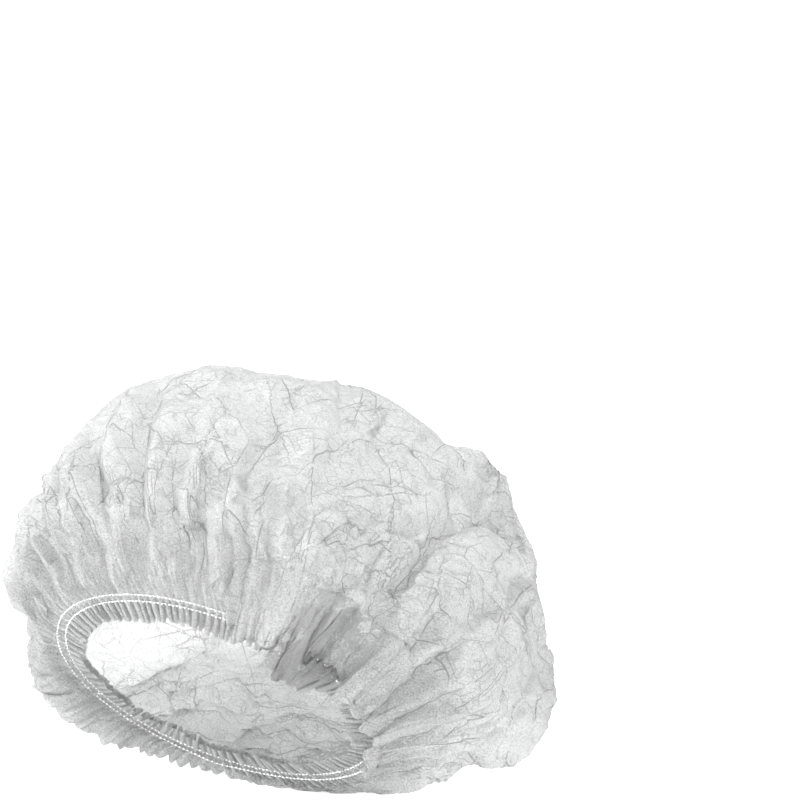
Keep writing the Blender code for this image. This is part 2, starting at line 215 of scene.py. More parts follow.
def smooth_crown(along, around):
    plain = plain_end(around)
    inside = along / PLAIN_STRIP * plain
    beyond = between(plain, PLAIN_STRIP_BLEND, (along - PLAIN_STRIP) / (PLAIN_STRIP_BLEND - PLAIN_STRIP))
    spread = np.where(along <= PLAIN_STRIP, inside, np.where(along < PLAIN_STRIP_BLEND, beyond, along))
    return bare_crown(spread, around)


def unit(vectors):
    return vectors / np.maximum(np.linalg.norm(vectors, axis=-1, keepdims=True), 1e-12)


def crown_normals(along, around, step=1e-4):
    along = np.clip(along, 0.0, 1.0 - 20 * step)
    low = np.maximum(along - step, 0.0)
    onward = smooth_crown(along + step, around) - smooth_crown(low, around)
    sideways = smooth_crown(along, around + step) - smooth_crown(along, around - step)
    return unit(np.cross(onward, sideways))


def around_gap(around, centre):
    return np.mod(around - centre + 0.5, 1.0) - 0.5


def offsets_from(along, around, centre_along, centre_around):
    step = 1e-3
    here = smooth_crown(np.array(centre_along), np.array(centre_around))
    onward = smooth_crown(np.array(centre_along + step), np.array(centre_around)) - here
    sideways = smooth_crown(np.array(centre_along), np.array(centre_around + step)) - here
    return (
        (along - centre_along) * np.linalg.norm(onward) / step,
        around_gap(around, centre_around) * np.linalg.norm(sideways) / step,
    )


def fold_height(along, around, fold):
    onward, sideways = offsets_from(along, around, fold.along, fold.around)
    turn = math.radians(fold.turn_deg)
    length = (onward * math.cos(turn) + sideways * math.sin(turn)) / (fold.length * CROWN_WIDTH)
    width = (sideways * math.cos(turn) - onward * math.sin(turn)) / (fold.width * CROWN_WIDTH)
    return fold.depth * CROWN_HEIGHT * np.exp(-(length**2) - width**2)


SEAL_RAYS = 11
SEAL_RAY_DEPTH = 0.0019
SEAL_RAY_REACH = 0.030


def seal_frame(seal):
    """The CAD tab's middle, and its long, middle and thin directions with half of each size."""
    corners = np.array([tuple(v.co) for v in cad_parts[seal.name].data.vertices]) - CAP_SHIFT
    centre = (corners.min(axis=0) + corners.max(axis=0)) / 2
    _, _, axes = np.linalg.svd(corners - corners.mean(axis=0))
    half = np.abs((corners - centre) @ axes.T).max(axis=0)
    return centre, axes, half


def seal_height(along, around, seal, lift):
    """Cloth drawn out to the fused end, in small folds that meet there."""
    onward, sideways = offsets_from(along, around, seal.along, seal.around)
    away = np.hypot(onward, sideways)
    peak = lift * np.clip(1.0 - away / (1.35 * seal.foot * CROWN_WIDTH), 0.0, 1.0) ** 2
    ray = np.arctan2(sideways, onward) / (2 * math.pi) * SEAL_RAYS
    zigzag = 4 * np.abs(ray - np.round(ray)) - 1
    rise = step_up(away, 0.002, 0.014) * np.exp(-((away / SEAL_RAY_REACH) ** 2))
    return peak + SEAL_RAY_DEPTH * zigzag * rise


# ---- distances on the cloth ----


def stitch_distances(rows=161, columns=240):
    """How far each place lies from the stitch line, along the cloth."""
    along = np.linspace(0.0, 1.0, rows)[:, None] * np.ones((1, columns))
    around = np.arange(columns)[None, :] / columns * np.ones((rows, 1))
    points = smooth_crown(along, around)
    steps = np.linalg.norm(np.diff(points, axis=0), axis=-1)
    return np.concatenate([np.zeros((1, columns)), np.cumsum(steps, axis=0)])


DISTANCES = stitch_distances()


def sampled(table, along, around):
    """The table's value at these shares, between its entries."""
    rows, columns = table.shape
    row = np.clip(along, 0.0, 1.0) * (rows - 1)
    column = np.mod(around, 1.0) * columns
    r0 = np.minimum(row.astype(int), rows - 2)
    c0 = column.astype(int) % columns
    c1 = (c0 + 1) % columns
    fr, fc = row - r0, column - np.floor(column)
    low = table[r0, c0] * (1 - fc) + table[r0, c1] * fc
    high = table[r0 + 1, c0] * (1 - fc) + table[r0 + 1, c1] * fc
    return low * (1 - fr) + high * fr


def from_stitch(along, around):
    return sampled(DISTANCES, along, around)


def flat_place(along, around):
    """Where this piece of cloth lies in the cap's flat round web."""
    share = from_stitch(along, around) / sampled(DISTANCES, np.ones_like(along), around)
    radius = FLAT_RADIUS * (1.0 - share)
    turn = 2 * math.pi * around
    return radius * np.cos(turn), radius * np.sin(turn)


# ---- crumples ----


class Crumple:
    """Random facets of the flat web, with a crease on each of their edges."""

    def __init__(self, seed, spacing, slope, texel=0.0006):
        rng = np.random.default_rng(seed)
        reach = FLAT_RADIUS * 1.06
        side = np.arange(-reach, reach, spacing)
        x, y = (part.ravel() for part in np.meshgrid(side, side * 0.93))
        x = x + rng.uniform(-0.42, 0.42, x.size) * spacing
        y = y + rng.uniform(-0.42, 0.42, y.size) * spacing
        heights = rng.uniform(-0.5, 0.5, x.size) * slope * spacing * rng.uniform(0.3, 1.6, x.size)
        corners, _, faces, origins, _, _ = delaunay_2d_cdt(
            [Vector((a, b)) for a, b in zip(x, y)], [], [], 0, 1e-9
        )
        places = np.array([tuple(c) for c in corners])
        heights = np.array([heights[o[0]] for o in origins])
        self.reach, self.texel = reach, texel
        cells = int(2 * reach / texel) + 1
        self.table = np.zeros((cells, cells))
        for face in faces:
            self.fill(places[list(face)], heights[list(face)])

    def fill(self, corners, heights):
        cell = (corners + self.reach) / self.texel
        low = np.maximum(np.floor(cell.min(axis=0)).astype(int), 0)
        high = np.minimum(np.ceil(cell.max(axis=0)).astype(int) + 1, len(self.table))
        if (high <= low).any():
            return
        edges = np.stack([cell[1] - cell[0], cell[2] - cell[0]], axis=1)
        span = np.linalg.det(edges)
        if abs(span) < 1e-9:
            return
        x = np.arange(low[0], high[0])[:, None] - cell[0, 0]
        y = np.arange(low[1], high[1])[None, :] - cell[0, 1]
        b = (x * edges[1, 1] - y * edges[0, 1]) / span
        c = (y * edges[0, 0] - x * edges[1, 0]) / span
        inside = (b >= -1e-6) & (c >= -1e-6) & (b + c <= 1 + 1e-6)
        value = heights[0] + b * (heights[1] - heights[0]) + c * (heights[2] - heights[0])
        part = self.table[low[0] : high[0], low[1] : high[1]]
        part[inside] = value[inside]

    def at(self, x, y):
        u = np.clip((x + self.reach) / self.texel, 0, len(self.table) - 2)
        v = np.clip((y + self.reach) / self.texel, 0, len(self.table) - 2)
        i, j = u.astype(int), v.astype(int)
        fu, fv = u - i, v - j
        t = self.table
        low = t[i, j] * (1 - fv) + t[i, j + 1] * fv
        high = t[i + 1, j] * (1 - fv) + t[i + 1, j + 1] * fv
        return low * (1 - fu) + high * fu


BROAD_CRUMPLES = (Crumple(11, 0.046, 0.24), Crumple(12, 0.021, 0.40))
FINE_CRUMPLES = (Crumple(13, 0.0100, 0.30), Crumple(14, 0.0050, 0.16))
PLEAT_LINE_SPACING = 0.030
PLEAT_LINE_DEPTH = 0.00045
PLEAT_LINE_WIDTH = 0.0022


# Over the right half of the mouth the cloth bulges over the stitches, and is bunched in dense folds; there
# the cloth's colour also gets a painted shadow of the folds.
TUCK_PLACE = 0.130
TUCK_SPREAD = 0.060
TUCK_LIP = 0.0060
BUNCH_PLACE = 0.116
BUNCH_SPREAD = 0.038
BUNCH_REACH = 0.050


def bunched(along, around):
    """How densely bunched the cloth is, from 0 to 1."""
    aside = around_gap(around, BUNCH_PLACE + 0.10 * along) / BUNCH_SPREAD
    return np.exp(-(aside**2) - (from_stitch(along, around) / BUNCH_REACH) ** 2)


def pleat_lines(along, around):
    """The creases of the folded strip, parallel across the flat web."""
    line = flat_place(along, around)[1] / PLEAT_LINE_SPACING
    sign = np.where(np.mod(np.round(line), 2) > 0, 1.0, -1.0)
    away = np.abs(line - np.round(line)) * PLEAT_LINE_SPACING
    return sign * PLEAT_LINE_DEPTH * np.clip(1 - away / PLEAT_LINE_WIDTH, 0.0, 1.0)


def crumple_height(along, around, crumples):
    x, y = flat_place(along, around)
    total = sum(crumple.at(x, y) for crumple in crumples)
    far = from_stitch(along, around)
    bunch = bunched(along, around)
    return total * between(step_up(far, 0.004, 0.050), 2.0 * step_up(far, 0.003, 0.012), bunch)


# ---- long creases ----

Crease = namedtuple("Crease", "places width depth step", defaults=(False,))

# The creases that can be told apart in the photo, as places (along, around) on the cloth.
CREASES = (
    Crease(((0.19, 0.089), (0.35, 0.089), (0.49, 0.086), (0.66, 0.062), (0.74, 0.052)), 0.0065, -0.0046),
    Crease(((0.36, 0.183), (0.20, 0.168), (0.09, 0.150), (0.04, 0.136)), 0.0060, -0.0040),
    Crease(((0.36, 0.183), (0.47, 0.215), (0.60, 0.260)), 0.0045, 0.0022),
    Crease(((0.36, 0.183), (0.45, 0.130), (0.56, 0.100)), 0.0040, -0.0018),
    Crease(((0.72, 0.117), (0.76, 0.080), (0.78, 0.052)), 0.0060, 0.0040),
    Crease(((0.70, 0.150), (0.72, 0.117), (0.66, 0.085)), 0.0045, -0.0030),
    Crease(((0.12, 0.210), (0.25, 0.247), (0.36, 0.255)), 0.0040, -0.0020),
    Crease(((0.30, 0.930), (0.45, 0.960), (0.60, 0.975)), 0.0045, -0.0022),
    Crease(((0.01, 0.088), (0.07, 0.092), (0.15, 0.085)), 0.0050, -0.0076),
    Crease(((0.01, 0.104), (0.08, 0.107), (0.18, 0.118)), 0.0055, -0.0090),
    Crease(((0.01, 0.121), (0.06, 0.127), (0.13, 0.140)), 0.0050, -0.0080),
    Crease(((0.01, 0.140), (0.06, 0.146), (0.12, 0.163)), 0.0045, -0.0056),
    Crease(((0.05, 0.084), (0.09, 0.106), (0.10, 0.150)), 0.0050, 0.0036),
)

Fan = namedtuple("Fan", "first last valleys start end width depth")

# Valleys that fan out from the mouth's ends.
FANS = (
    Fan(0.250, 0.545, 13, 0.050, 0.40, 0.0085, -0.0080),
    Fan(0.900, 1.065, 8, 0.045, 0.36, 0.0075, -0.0060),
)
FAN_CRISPNESS = 0.26


def fan_creases(share):
    made = []
    rng = np.random.default_rng(43)
    for fan in FANS:
        pitch = (fan.last - fan.first) / fan.valleys
        for i in range(fan.valleys):
            around = fan.first + pitch * (i + 0.5 + rng.uniform(-0.22, 0.22))
            end = fan.end * rng.uniform(0.62, 1.12)
            bend = pitch * rng.uniform(-0.45, 0.45)
            shares = (0.0, 0.2, 0.45, 0.7, 1.0)
            places = tuple((fan.start + (end - fan.start) * t, around + bend * t * t) for t in shares)
            width = fan.width * rng.uniform(0.75, 1.2)
            made.append(Crease(places, width, share * fan.depth * rng.uniform(0.6, 1.15)))
    return made


CHANCE_CREASES = 300
MARK_REACH = 0.0022
STEP_SHORT_SIDE = 0.55
STEP_LONG_SIDE = 4.0


def chance_creases():
    """Short straight creases of the flat web, left by its packing."""
    rng = np.random.default_rng(41)
    distance = DISTANCES.mean(axis=1) / DISTANCES[-1].mean()
    along_steps = np.linspace(0.0, 1.0, len(distance))
    made = []
    for _ in range(CHANCE_CREASES):
        radius, turn = FLAT_RADIUS * 0.86 * math.sqrt(rng.uniform(0.01, 1.0)), rng.uniform(0, 2 * math.pi)
        way = rng.choice([0.25, 1.82]) + rng.normal(0.0, 0.35)
        t = np.linspace(-0.5, 0.5, 5) * rng.uniform(0.020, 0.095)
        x = radius * math.cos(turn) + t * math.cos(way)
        y = radius * math.sin(turn) + t * math.sin(way)
        along = np.interp(1 - np.hypot(x, y) / FLAT_RADIUS, distance, along_steps)
        around = np.mod(np.arctan2(y, x) / (2 * math.pi), 1.0)
        sign = rng.choice([-1.0, 1.0])
        places = tuple(zip(along.tolist(), around.tolist()))
        width = rng.uniform(0.0016, 0.0030)
        made.append(Crease(places, width, sign * width * rng.uniform(0.25, 0.5), rng.uniform() < 0.55))
    return made


def creased(along, around, creases):
    """The creases' height (valleys below zero, crests above) and their marks.

    The marks are three rows: the distance from the nearest crease, the same in millimetres with a sign
    for the side, and how clear the crease is there.
    """
    points = smooth_crown(along, around)
    height = np.zeros(len(points))
    marks = np.stack([np.full(len(points), 1e9), np.full(len(points), 9.0), np.zeros(len(points))])
    for crease in creases:
        shares = [np.array(part) for part in zip(*crease.places)]
        line = smooth_crown(*shares)
        normal = crown_normals(*shares).mean(axis=0)
        reach = crease.width * (STEP_LONG_SIDE if crease.step else 1.0)
        near = ((points > line.min(axis=0) - reach) & (points < line.max(axis=0) + reach)).all(axis=1)
        if not near.any():
            continue
        chosen = points[near]
        lengths = np.linalg.norm(np.diff(line, axis=0), axis=1)
        starts = np.concatenate([[0.0], np.cumsum(lengths)])
        best = np.full(len(chosen), 1e9)
        place = np.zeros(len(chosen))
        ahead = np.zeros(len(chosen), dtype=bool)
        for first, second, length, start in zip(line, line[1:], lengths, starts):
            way = (second - first) / length
            t = np.clip((chosen - first) @ way, 0.0, length)
            aside = chosen - first - t[:, None] * way
            away = np.linalg.norm(aside, axis=1)
            closer = away < best
            ahead = np.where(closer, aside @ np.cross(way, normal) > 0, ahead)
            best = np.where(closer, away, best)
            place = np.where(closer, (start + t) / starts[-1], place)
        taper = np.minimum(1.0, 3.6 * np.minimum(place, 1 - place) + 0.05)
        if crease.step:
            width = crease.width * np.where(ahead, STEP_LONG_SIDE, STEP_SHORT_SIDE)
        else:
            width = crease.width
        height[near] += crease.depth * taper * np.clip(1 - best / width, 0.0, 1.0) ** 1.3
        clear = taper * np.clip(1.8 - best / MARK_REACH, 0.0, 1.0)
        own_marks = np.stack([best, np.where(ahead, best, -best) * 1000, clear])
        marks[:, near] = nearer(marks[:, near], own_marks)
    return height, marks


def nearer(first, second):
    return np.where(first[0] <= second[0], first, second)


# ---- gathers ----


def ruffles(around, count, seed, unevenness=PLEAT_UNEVENNESS):
    """For each place, the ruffle it is in, and the share of the way across it, for uneven ruffles."""
    rng = np.random.default_rng(seed)
    edges = (np.arange(count) + rng.uniform(-unevenness, unevenness, count)) / count
    edges = np.concatenate([edges[-2:] - 1, edges, edges[:2] + 1])
    place = np.mod(around, 1.0)
    cell = np.searchsorted(edges, place, side="right") - 1
    share = (place - edges[cell]) / (edges[cell + 1] - edges[cell])
    return np.mod(cell - 2, count), share


PLEAT_SEED = 21
Puffs = namedtuple("Puffs", "count seed rise depth reach")
RIM_PUFFS = Puffs(PLEATS, PLEAT_SEED, 0.008, 0.0036, 0.021)
LOBE_PUFFS = Puffs(47, 22, 0.020, 0.0042, 0.055)
BROAD_PUFFS = Puffs(19, 23, 0.040, 0.0042, 0.105)


def puffs(along, around, kind):
    """Puffed ruffles with a sharp valley between them, which run out from the stitch line."""
    rng = np.random.default_rng(kind.seed + 500)
    cell, share = ruffles(around, kind.count, kind.seed)
    far = from_stitch(along, around)
    own_depth = kind.depth * rng.uniform(0.5, 1.3, kind.count)[cell]
    own_reach = kind.reach * rng.uniform(0.5, 1.7, kind.count)[cell]
    profile = np.sin(math.pi * share) ** 0.75 - 0.70
    return own_depth * profile * step_up(far, 0.0, kind.rise) * np.exp(-((far / own_reach) ** 2))


def stitch_wave(around):
    return -STITCH_WAVE * np.cos(2 * math.pi * ruffles(around, PLEATS, PLEAT_SEED)[1])


CROWN_SLACK = 0.0050


def cloth_height(along, around):
    """How far the web stands off the smooth crown, but for the drawn-out ends."""
    far = from_stitch(along, around)
    height = stitch_wave(around) * (1 - step_up(far, 0.002, 0.008))
    tucked = np.exp(-((around_gap(around, TUCK_PLACE) / TUCK_SPREAD) ** 2))
    height = height + (1 + 0.7 * tucked) * puffs(along, around, RIM_PUFFS)
    height = height + TUCK_LIP * tucked * step_up(far, 0.002, 0.009) * np.exp(-((far / 0.022) ** 2))
    height = height + puffs(along, around, LOBE_PUFFS)
    height = height + puffs(along, around, BROAD_PUFFS) - CROWN_SLACK * step_up(far, 0.0, 0.05)
    dents = sum(fold_height(along, around, fold) for fold in (*FOLDS, *SOFT_FOLDS))
    height = height + dents * step_up(along, PLAIN_STRIP, 0.09)
    creases, marks = creased(along, around, (*CREASES, *fan_creases(1.0)))
    return height + crumple_height(along, around, BROAD_CRUMPLES) + creases, marks


def crisp_height(along, around):
    """The finest creases and facets, which the cloth keeps while it settles."""
    crumple = crumple_height(along, around, FINE_CRUMPLES)
    creases, marks = creased(along, around, (*fan_creases(FAN_CRISPNESS), *chance_creases()))
    lines = pleat_lines(along, around) * step_up(from_stitch(along, around), 0.02, 0.06)
    return crumple + lines + creases, marks


# Round the right half of the mouth the cloth hangs over the stitches and the frill, in ragged lobes.
COVERED = (-0.050, 0.205)
COVER_FADE = 0.040
COVER_REACH = (0.010, 0.018)
COVER_FORWARD = 0.0085
COVER_INWARD = 0.0105
LOBE_REACH_SEED = 61
SPIKE_PLACE = 0.112
SPIKE_SPREAD = 0.020
SPIKE_INWARD = 0.014


def overhang(along, around):
    """How far the cloth beside the stitches is pushed forward and inward over the mouth."""
    place = around_gap(around, 0.0)
    share = step_up(place, COVERED[0] - COVER_FADE, COVERED[0])
    share = share * (1 - step_up(place, COVERED[1], COVERED[1] + COVER_FADE))
    cell, across = ruffles(around, LOBE_PUFFS.count, LOBE_PUFFS.seed)
    own = np.random.default_rng(LOBE_REACH_SEED).uniform(0.55, 1.35, LOBE_PUFFS.count)[cell]
    lobe = own * (0.45 + 0.55 * np.sin(math.pi * across) ** 0.6)
    spike = np.clip(1 - np.abs(around_gap(around, SPIKE_PLACE)) / SPIKE_SPREAD, 0.0, 1.0)
    far = from_stitch(along, around)
    fade = np.exp(-((np.maximum(far - COVER_REACH[0], 0.0) / COVER_REACH[1]) ** 2))
    forward = share * COVER_FORWARD * (0.6 + 0.4 * lobe) * step_up(far, 0.0010, 0.0090) * fade
    inward = (share * COVER_INWARD * lobe + SPIKE_INWARD * spike) * step_up(far, 0.0035, 0.0130) * fade
    centre, _, _, outward = mouth_axes()
    ring = smooth_crown(np.zeros_like(along), around)
    return forward[:, None] * outward + inward[:, None] * unit(centre - ring)


def drawn_places():
    """Each fused end's place on the cloth, and how far the cloth has to be drawn out to reach it."""
    made = []
    for seal in SEALS:
        centre, _, half = seal_frame(seal)
        step = np.linspace(-0.03, 0.03, 61)
        along, around = (part.ravel() for part in np.meshgrid(seal.along + step, seal.around + step))
        along = np.clip(along, 0.0, 1.0)
        normal = crown_normals(along, around)
        way = centre - smooth_crown(along, around)
        out = (way * normal).sum(axis=1)
        aside = np.linalg.norm(way - out[:, None] * normal, axis=1)
        best = int(np.argmin(aside))
        place = seal._replace(along=float(along[best]), around=float(around[best]))
        here, _ = cloth_height(along[best : best + 1], around[best : best + 1])
        made.append((place, float(out[best] - half[1] - here[0])))
    return made


def crown_height(along, around):
    height, marks = cloth_height(along, around)
    for seal, lift in drawn_places():
        height = height + seal_height(along, around, seal, lift)
    return height, marks


FLOOR_CLEARANCE = 0.0002


def on_floor(points):
    """What would hang below the floor lies on it instead."""
    laid = np.array(points)
    laid[..., 2] = np.maximum(laid[..., 2], FLOOR_CLEARANCE)
    return laid


# ---- meshes ----


FINE_COLUMNS_END = 0.034
COARSE_COLUMNS_START = 0.80
LAST_ROW = 0.985


def crown_rows():
    """The crown's rows of points: each one's share along, and how many columns make one."""
    along = np.linspace(0.0, 1.0, DISTANCES.shape[0])
    distance = DISTANCES.mean(axis=1)
    total = distance[-1]
    rows = []
    place = 0.0
    while place < total * LAST_ROW:
        merge = 1 if place < FINE_COLUMNS_END else 2 if place < total * COARSE_COLUMNS_START else 4
        rows.append((float(np.interp(place, distance, along)), merge))
        place += ROW_STEP
    return rows


def ring_faces(first, second):
    """Faces between two closed rings of point numbers, the second as fine or half as fine."""
    count = len(second)
    faces = []
    for i in range(count):
        if len(first) == count:
            faces.append((second[i], second[(i + 1) % count], first[(i + 1) % count], first[i]))
            continue
        start, middle, end = (first[(2 * i + k) % len(first)] for k in range(3))
        faces.append((second[i], middle, start))
        faces.append((second[i], second[(i + 1) % count], middle))
        faces.append((second[(i + 1) % count], end, middle))
    return faces


def mesh_piece(name, points, faces, materials, smooth=True):
    data = bpy.data.meshes.new(name)
    data.from_pydata(points.tolist(), [], faces)
    data.validate()
    if smooth:
        data.shade_smooth()
    piece = bpy.data.objects.new(name, data)
    bpy.context.scene.collection.objects.link(piece)
    for material in materials:
        data.materials.append(material)
    return piece


def paint(piece, layer, values):
    piece.data.attributes.new(layer, "FLOAT", "POINT").data.foreach_set("value", values)


def make_crown(material):
    every_along, every_around, rings, start = [], [], [], 0
    for along, merge in crown_rows():
        around = np.arange(0, COLUMNS, merge) / COLUMNS
        every_along.append(np.full_like(around, along))
        every_around.append(around)
        rings.append(np.arange(start, start + len(around)).tolist())
        start += len(around)
    along, around = np.concatenate(every_along), np.concatenate(every_around)
    height, marks = crown_height(along, around)
    crisp, fine_marks = crisp_height(along, around)
    bunch = bunched(along, around)
    _, side, clear = nearer(marks, fine_marks)
    normals = crown_normals(along, around)
    web = on_floor(smooth_crown(along, around) + normals * height[:, None])
    faces = [face for first, second in zip(rings, rings[1:]) for face in ring_faces(first, second)]
    last = rings[-1]
    middle = web[last].mean(axis=0)[None, :] + np.array([[0.0, 0.001, 0.0]])
    faces += [(last[i], start, last[(i + 1) % len(last)]) for i in range(len(last))]
    crown = mesh_piece("crown_web", np.concatenate([web, middle]) + CAP_SHIFT, faces, [material])
    # These layers place painted shade in the cloth's colour: crease lines by the first two, the bunched
    # patch's painted shadow by the third.
    for layer, values in ((SIDE_LAYER, side), (CLEAR_LAYER, clear), (BUNCH_SHADOW_LAYER, bunch)):
        paint(crown, layer, np.append(values, 0.0))
    relax(crown)
    push = np.zeros((start + 1, 3))
    push[:start] = normals * crisp[:, None] + overhang(along, around)
    crown.data.vertices.foreach_set("co", on_floor(places_of(crown) + push).ravel())
    crown.data.update()
    return crown


def places_of(piece):
    places = np.empty((len(piece.data.vertices), 3))
    piece.data.vertices.foreach_get("co", places.ravel())
    return places


# The relaxing of the crumpled web: it has more cloth than room, so it buckles.
RELAX_FRAMES = 12
RELAX_SURPLUS = 0.085
HELD_ROWS = 5
HELD_ROUND_ENDS = 0.006
FARTHEST_MOVE = 0.010


def held_vertices(places):
    """Numbers of the points that stitches, the floor or the fused ends hold in place."""
    held = np.arange(len(places)) < COLUMNS * HELD_ROWS
    held |= places[:, 2] < 0.002
    for seal, _ in drawn_places():
        centre, _, _ = seal_frame(seal)
        held |= np.linalg.norm(places - (centre + CAP_SHIFT), axis=1) < HELD_ROUND_ENDS
    return np.nonzero(held)[0].tolist()


def relax(crown):
    """Lets the cloth settle for a few frames of simulation, and applies the result."""
    places = places_of(crown)
    crown.vertex_groups.new(name="held").add(held_vertices(places), 1.0, "REPLACE")
    cloth = crown.modifiers.new("relax", "CLOTH")
    rule = cloth.settings
    rule.quality = 4
    rule.mass = 0.02
    rule.tension_stiffness = rule.compression_stiffness = 25.0
    rule.shear_stiffness = 8.0
    rule.bending_stiffness = 0.004
    rule.tension_damping = rule.compression_damping = rule.shear_damping = 8.0
    rule.bending_damping = 0.5
    rule.air_damping = 4.0
    rule.shrink_min = rule.shrink_max = -RELAX_SURPLUS
    rule.vertex_group_mass = "held"
    rule.pin_stiffness = 5.0
    rule.effector_weights.gravity = 0.0
    cloth.collision_settings.use_collision = False
    cloth.point_cache.frame_start, cloth.point_cache.frame_end = 1, RELAX_FRAMES
    for number in range(1, RELAX_FRAMES + 1):
        bpy.context.scene.frame_set(number)
    settled = places_of(crown.evaluated_get(bpy.context.evaluated_depsgraph_get()))
    crown.modifiers.remove(cloth)
    crown.vertex_groups.clear()
    bpy.context.scene.frame_set(1)
    move = settled - places
    length = np.linalg.norm(move, axis=1, keepdims=True)
    move *= np.minimum(1.0, FARTHEST_MOVE / np.maximum(length, 1e-9))
    crown.data.vertices.foreach_set("co", on_floor(places + move).ravel())
    crown.data.update()


def mouth_axes():
    roll = math.radians(MOUTH_ROLL_DEG)
    tilt = math.radians(MOUTH_LEAN_DEG)
    rise = np.array([0.0, -math.sin(tilt), math.cos(tilt)])
    side = np.array([1.0, 0.0, 0.0])
    widthways = math.cos(roll) * side - math.sin(roll) * rise
    upward = math.sin(roll) * side + math.cos(roll) * rise
    centre = np.array([MOUTH_SIDE_SHIFT, 0.0, MOUTH_CENTRE_HEIGHT])
    return centre, widthways, upward, np.cross(widthways, upward)


def mouth_points(around, inset):
    centre, widthways, upward, _ = mouth_axes()
    angle = angle_at(around)
    across = (MOUTH_WIDTH / 2 - inset) * np.cos(angle)
    height = (MOUTH_HEIGHT / 2 - inset) * np.sin(angle)
    return centre + across[..., None] * widthways + height[..., None] * upward


# Where a flap of the frill hangs down over the mouth.
FLAP_PLACE = 0.105
FLAP_REACH = 0.013
FLAP_SPREAD = 0.016
FRILL_CURL = 0.0020
HEM_WAVES = 9


def make_frill(material, rows=12):
    """The free edge of the web, pleated more and more deeply towards its hem."""
    rng = np.random.default_rng(31)
    outward = mouth_axes()[3]
    around = np.arange(COLUMNS) / COLUMNS
    cell, share = ruffles(around, PLEATS, PLEAT_SEED)
    own_wave = rng.uniform(0.7, 1.25, PLEATS)[cell]
    wavy = 1 + 0.10 * np.sin(2 * math.pi * HEM_WAVES * around) + rng.uniform(-0.08, 0.08, PLEATS)[cell]
    flap = np.clip(1 - np.abs(around_gap(around, FLAP_PLACE)) / FLAP_SPREAD, 0.0, 1.0)
    own_reach = FRILL_REACH * wavy + FLAP_REACH * flap
    sway = rng.uniform(-0.35, 0.35, PLEATS)[cell] / PLEATS
    points = []
    for row in range(rows + 1):
        t = row / rows
        inset = own_reach * t
        wave = (STITCH_WAVE * (1 - t) + FRILL_WAVE * step_up(t, -0.1, 0.7)) * own_wave
        profile = -np.cos(2 * math.pi * share)
        overlap = FRILL_OVERLAP * np.sin(4 * math.pi * share) / PLEATS * step_up(t, 0.0, 0.6)
        curl = FRILL_CURL * t * t
        face = mouth_points(around + sway * t * t + overlap, inset)
        points.append(face + (wave * profile + curl)[:, None] * outward)
    rings = [np.arange(r * COLUMNS, (r + 1) * COLUMNS).tolist() for r in range(rows + 1)]
    faces = [face[::-1] for first, second in zip(rings, rings[1:]) for face in ring_faces(first, second)]
    frill = mesh_piece("frill_web", np.concatenate(points) + CAP_SHIFT, faces, [material])
    # Where the frill is bunched, its colour gets the same painted shadow as the crown's.
    dense = np.exp(-((around_gap(around, BUNCH_PLACE) / BUNCH_SPREAD) ** 2))
    paint(frill, BUNCH_SHADOW_LAYER, np.tile(dense, rows + 1))
    return frill


def tube(centres, lifts, sides, radius, count):
    """A closed round tube along the ring of centres, as points and faces."""
    points, rings = [], []
    for k in range(count):
        turn = 2 * math.pi * k / count
        points.append(centres + radius * (math.cos(turn) * lifts + math.sin(turn) * sides))
        rings.append(np.arange(k * len(centres), (k + 1) * len(centres)).tolist())
    faces = [f for a, b in zip(rings, rings[1:] + rings[:1]) for f in ring_faces(a, b)]
    return np.concatenate(points), faces


THREAD_RADIUS = 0.00032
THREAD_LIFT = 0.00045
STITCHES = 210
STITCH_LENGTH = 0.00105
STITCH_WIDTH = 0.00048
STITCH_LIFT = 0.00072
STITCH_SCATTER = 0.00012
ROUND_SIDES = 6
# The rings of a stitch: each one's place along it, its girth and its height.
STITCH_RINGS = (
    (-0.5, 0.35, -0.55), (-0.3, 0.9, 0.0), (0.0, 1.0, 0.12), (0.3, 0.9, 0.0), (0.5, 0.35, -0.55)
)


def cloth_rise(around):
    return 0.35 * np.maximum(stitch_wave(around), 0)


